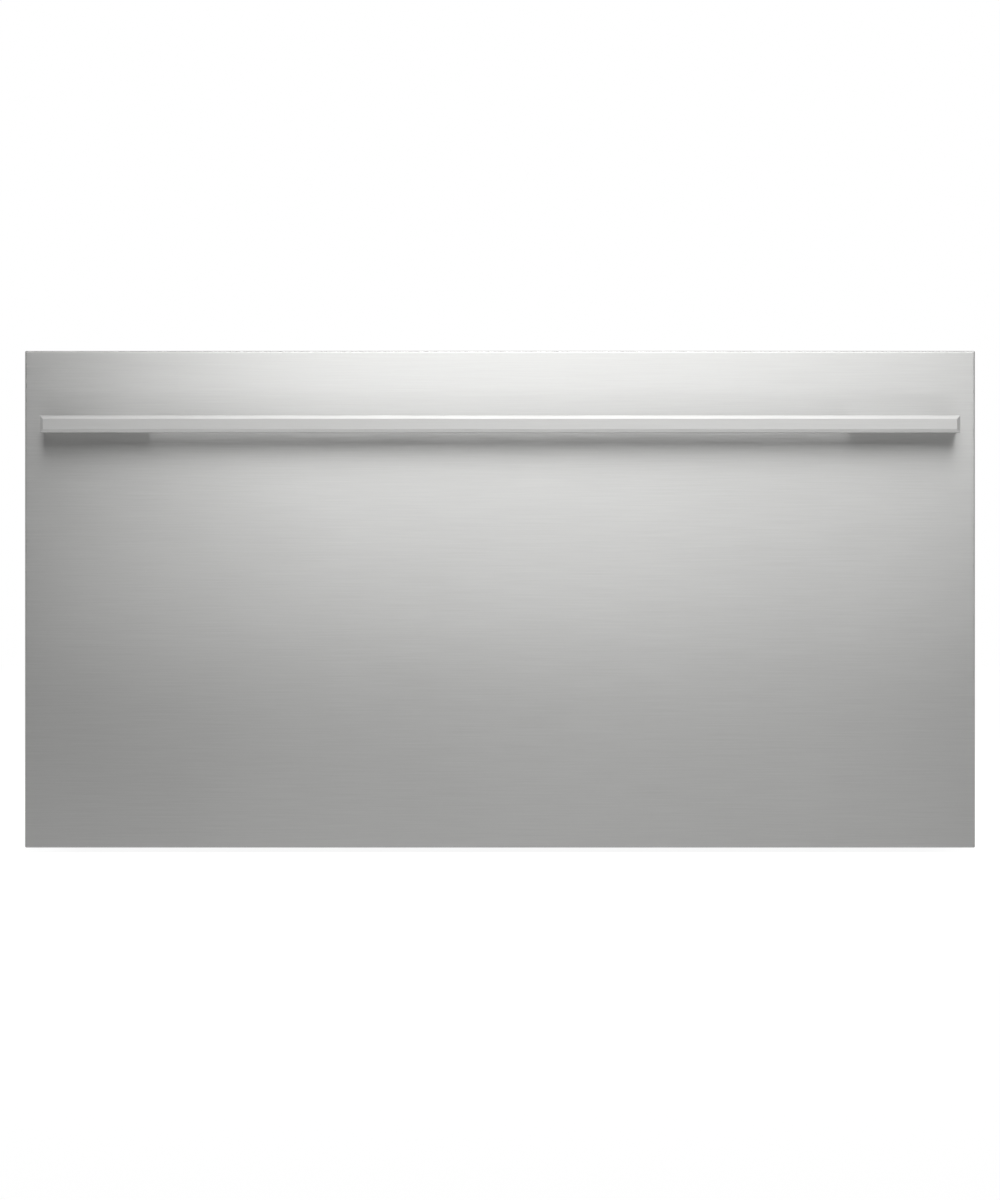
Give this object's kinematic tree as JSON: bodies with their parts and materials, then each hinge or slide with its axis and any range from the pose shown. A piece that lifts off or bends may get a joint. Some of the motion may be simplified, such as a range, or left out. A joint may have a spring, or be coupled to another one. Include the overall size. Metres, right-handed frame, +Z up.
{
  "type": "refrigerator drawer",
  "caption": "Built-in refrigerator drawer: brushed steel front with bar handle, insulated cabinet, telescopic slides, plastic tub with tray and divider, and a cooling unit at the rear.",
  "frame": {"origin": "middle of the bounding box in X and Y, at the underside of the levelling feet", "axes": "+Z up, +X to the right as seen from the front, the steel front and handle face -Y"},
  "size_m": [0.897, 0.66, 0.474],
  "materials": {
    "brushed_stainless": "satin",
    "zinc_plated_steel": "satin",
    "stiffener_board": "matte",
    "grey_enamel": "satin",
    "black_enamel": "satin",
    "white_liner": "satin",
    "tub_plastic": "satin",
    "grey_plastic": "matte",
    "black_plastic": "matte",
    "insulation": "matte",
    "gasket_rubber": "matte",
    "black_rubber": "matte",
    "fin_aluminium": "satin",
    "copper_pipe": "satin",
    "dark_glass": "gloss",
    "light_diffuser": "satin"
  },
  "bodies": {
    "cabinet": {"outer_case": "grey_enamel", "back_panel": "zinc_plated_steel", "base_tray": "zinc_plated_steel", "front_frame": "grey_enamel", "inner_liner": "white_liner", "insulation_foam": "insulation", "machine_bulkhead": "zinc_plated_steel", "mounting_flanges": "zinc_plated_steel", "outer_rail_left": "zinc_plated_steel", "outer_rail_right": "zinc_plated_steel", "evaporator_cover": "white_liner", "evaporator_fan_motor": "black_plastic", "evaporator_coil": "fin_aluminium", "interior_light": "light_diffuser", "compressor": "black_enamel", "compressor_grommets": "black_rubber", "condenser_coil": "fin_aluminium", "condenser_fan_shroud": "black_plastic", "condenser_fan_motor": "black_plastic", "rear_cover": "zinc_plated_steel", "cable_gland": "black_plastic", "control_box": "grey_plastic", "defrost_drain": "black_plastic", "refrigerant_pipes": "copper_pipe"},
    "drawer": {"front_skin": "brushed_stainless", "panel_core": "stiffener_board", "handle_bar": "brushed_stainless", "handle_post_left": "brushed_stainless", "handle_post_right": "brushed_stainless", "handle_studs": "zinc_plated_steel", "door_shell": "grey_enamel", "door_liner": "white_liner", "door_foam": "insulation", "door_gasket": "gasket_rubber", "panel_hangers": "zinc_plated_steel", "inner_rail_left": "zinc_plated_steel", "inner_rail_right": "zinc_plated_steel", "drawer_bracket_left": "zinc_plated_steel", "drawer_bracket_right": "zinc_plated_steel", "drawer_tub": "tub_plastic", "divider_rod": "brushed_stainless", "control_fascia": "grey_plastic", "display_window": "dark_glass"},
    "middle_rail_left": {"middle_rail_left": "zinc_plated_steel"},
    "outer_roller_cage_left": {"outer_roller_cage_left": "zinc_plated_steel"},
    "inner_roller_cage_left": {"inner_roller_cage_left": "zinc_plated_steel"},
    "middle_rail_right": {"middle_rail_right": "zinc_plated_steel"},
    "outer_roller_cage_right": {"outer_roller_cage_right": "zinc_plated_steel"},
    "inner_roller_cage_right": {"inner_roller_cage_right": "zinc_plated_steel"},
    "utility_tray": {"utility_tray": "tub_plastic"},
    "tub_divider": {"tub_divider": "tub_plastic"},
    "button_power": {"button_power": "grey_plastic"},
    "button_colder": {"button_colder": "grey_plastic"},
    "button_warmer": {"button_warmer": "grey_plastic"},
    "evaporator_fan": {"evaporator_fan": "black_plastic"},
    "condenser_fan": {"condenser_fan": "black_plastic"},
    "foot_front_left": {"foot_front_left": "black_plastic"},
    "foot_front_right": {"foot_front_right": "black_plastic"},
    "foot_rear_left": {"foot_rear_left": "black_plastic"},
    "foot_rear_right": {"foot_rear_right": "black_plastic"}
  },
  "joints": [
    {"name": "drawer_slide", "type": "slide", "parent": "cabinet", "child": "drawer", "axis": [0, -1, 0], "range_m": [0, 0.4]},
    {"name": "middle_rail_left_slide", "type": "slide", "parent": "cabinet", "child": "middle_rail_left", "axis": [0, -1, 0], "range_m": [0, 0.2]},
    {"name": "outer_roller_cage_left_slide", "type": "slide", "parent": "cabinet", "child": "outer_roller_cage_left", "axis": [0, -1, 0], "range_m": [0, 0.1]},
    {"name": "inner_roller_cage_left_slide", "type": "slide", "parent": "cabinet", "child": "inner_roller_cage_left", "axis": [0, -1, 0], "range_m": [0, 0.3]},
    {"name": "middle_rail_right_slide", "type": "slide", "parent": "cabinet", "child": "middle_rail_right", "axis": [0, -1, 0], "range_m": [0, 0.2]},
    {"name": "outer_roller_cage_right_slide", "type": "slide", "parent": "cabinet", "child": "outer_roller_cage_right", "axis": [0, -1, 0], "range_m": [0, 0.1]},
    {"name": "inner_roller_cage_right_slide", "type": "slide", "parent": "cabinet", "child": "inner_roller_cage_right", "axis": [0, -1, 0], "range_m": [0, 0.3]},
    {"name": "tray_slide", "type": "slide", "parent": "drawer", "child": "utility_tray", "axis": [0, -1, 0], "range_m": [0, 0.222]},
    {"name": "divider_slide", "type": "slide", "parent": "drawer", "child": "tub_divider", "axis": [1, 0, 0], "range_m": [-0.26, 0.26]},
    {"name": "button_power_press", "type": "slide", "parent": "drawer", "child": "button_power", "axis": [0, 0, -1], "range_m": [0, 0.001], "stiffness_N_per_m": 600, "springref_m": -0.001},
    {"name": "button_colder_press", "type": "slide", "parent": "drawer", "child": "button_colder", "axis": [0, 0, -1], "range_m": [0, 0.001], "stiffness_N_per_m": 600, "springref_m": -0.001},
    {"name": "button_warmer_press", "type": "slide", "parent": "drawer", "child": "button_warmer", "axis": [0, 0, -1], "range_m": [0, 0.001], "stiffness_N_per_m": 600, "springref_m": -0.001},
    {"name": "evaporator_fan_spin", "type": "hinge", "parent": "cabinet", "child": "evaporator_fan", "pos_m": [-0.268, 0.235, 0.35], "axis": [0, 1, 0], "continuous": true},
    {"name": "condenser_fan_spin", "type": "hinge", "parent": "cabinet", "child": "condenser_fan", "pos_m": [0.0755, 0.247, 0.091], "axis": [1, 0, 0], "continuous": true},
    {"name": "foot_front_left_level", "type": "slide", "parent": "cabinet", "child": "foot_front_left", "axis": [0, 0, -1], "range_m": [0, 0.015]},
    {"name": "foot_front_right_level", "type": "slide", "parent": "cabinet", "child": "foot_front_right", "axis": [0, 0, -1], "range_m": [0, 0.015]},
    {"name": "foot_rear_left_level", "type": "slide", "parent": "cabinet", "child": "foot_rear_left", "axis": [0, 0, -1], "range_m": [0, 0.015]},
    {"name": "foot_rear_right_level", "type": "slide", "parent": "cabinet", "child": "foot_rear_right", "axis": [0, 0, -1], "range_m": [0, 0.015]}
  ],
  "couplings": [
    {"joint": "middle_rail_left_slide", "follows": "drawer_slide", "ratio": 0.5},
    {"joint": "outer_roller_cage_left_slide", "follows": "drawer_slide", "ratio": 0.25},
    {"joint": "inner_roller_cage_left_slide", "follows": "drawer_slide", "ratio": 0.75},
    {"joint": "middle_rail_right_slide", "follows": "drawer_slide", "ratio": 0.5},
    {"joint": "outer_roller_cage_right_slide", "follows": "drawer_slide", "ratio": 0.25},
    {"joint": "inner_roller_cage_right_slide", "follows": "drawer_slide", "ratio": 0.75}
  ]
}
